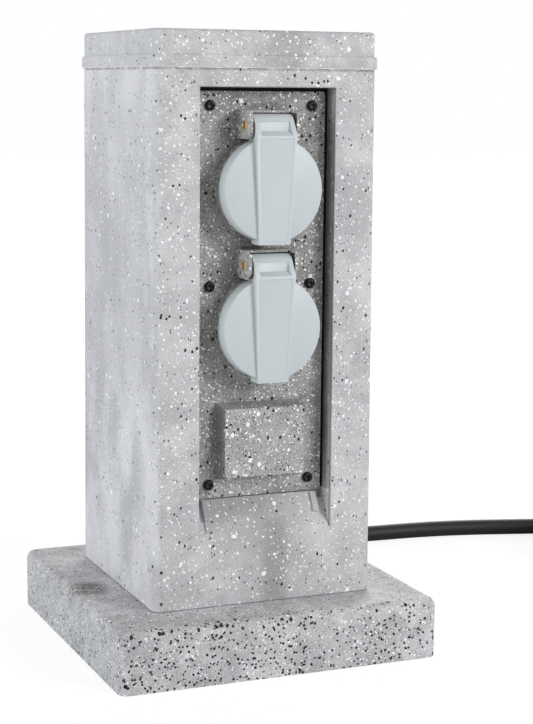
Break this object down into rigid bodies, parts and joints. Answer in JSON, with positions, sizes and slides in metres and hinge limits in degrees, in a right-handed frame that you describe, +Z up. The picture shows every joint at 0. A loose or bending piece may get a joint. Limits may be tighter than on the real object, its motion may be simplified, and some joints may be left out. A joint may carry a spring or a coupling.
{
  "type": "garden socket post",
  "caption": "Square garden power post on a flat base, with lidded sockets in a recessed panel, a flat cap and a coiled supply cable with plug.",
  "frame": {"origin": "centre of the base plate's underside", "axes": "+Z up, -Y out of the face with the sockets, +X to the right when facing the sockets"},
  "size_m": [0.4797, 0.2452, 0.3188],
  "materials": {
    "granite_plastic": "light grey granite effect, fine black and white specks",
    "panel_plastic": "darker grey granite effect, dense specks",
    "lid_plastic": "smooth light grey, satin",
    "insert_plastic": "dark grey, smooth",
    "black_plastic": "black, fine grain",
    "black_rubber": "black, dull",
    "cable_rubber": "black rubber sheath, satin",
    "brass": "plain brass",
    "plated_brass": "nickel plated",
    "dark_steel": "blackened steel",
    "spring_steel": "bright wire",
    "brown_sheath": "brown insulation",
    "blue_sheath": "blue insulation",
    "earth_sheath": "green and yellow insulation"
  },
  "bodies": {
    "post": {"base_plate": "granite_plastic", "column": "granite_plastic", "top_cap": "granite_plastic", "column_screws": "dark_steel", "socket_panel": "panel_plastic", "panel_gasket": "black_rubber", "panel_screws": "dark_steel", "upper_hinge_pin": "brass", "lower_hinge_pin": "brass", "upper_socket_insert": "insert_plastic", "lower_socket_insert": "insert_plastic", "upper_insert_screws": "brass", "lower_insert_screws": "brass", "upper_earth_clip": "brass", "lower_earth_clip": "brass", "upper_contacts": "brass", "lower_contacts": "brass", "upper_rear_cover": "black_plastic", "lower_rear_cover": "black_plastic", "brown_wires": "brown_sheath", "blue_wires": "blue_sheath", "earth_wires": "earth_sheath", "cable_inlet": "cable_rubber", "gland_body": "black_plastic", "gland_locknut": "black_plastic", "gland_seal": "black_rubber", "gland_dome_nut": "black_plastic", "bend_sleeve": "black_rubber", "cord_run": "cable_rubber", "cord_coil": "cable_rubber", "cord_tie": "black_plastic", "plug_body": "black_rubber", "plug_face": "black_plastic", "plug_pins": "plated_brass", "plug_earth_strips": "plated_brass"},
    "upper_lid": {"upper_lid": "lid_plastic", "upper_lid_gasket": "black_rubber", "upper_lid_spring": "spring_steel"},
    "lower_lid": {"lower_lid": "lid_plastic", "lower_lid_gasket": "black_rubber", "lower_lid_spring": "spring_steel"}
  },
  "joints": [
    {"name": "upper_lid_hinge", "type": "hinge", "parent": "post", "child": "upper_lid", "pos_m": [0, -0.061, 0.2728], "axis": [-1, 0, 0], "range_deg": [0, 85], "stiffness_Nm_per_rad": 0.01, "springref_deg": -34.38, "deforming": ["upper_lid_spring"]},
    {"name": "lower_lid_hinge", "type": "hinge", "parent": "post", "child": "lower_lid", "pos_m": [0, -0.061, 0.2042], "axis": [-1, 0, 0], "range_deg": [0, 85], "stiffness_Nm_per_rad": 0.01, "springref_deg": -34.38, "deforming": ["lower_lid_spring"]}
  ]
}
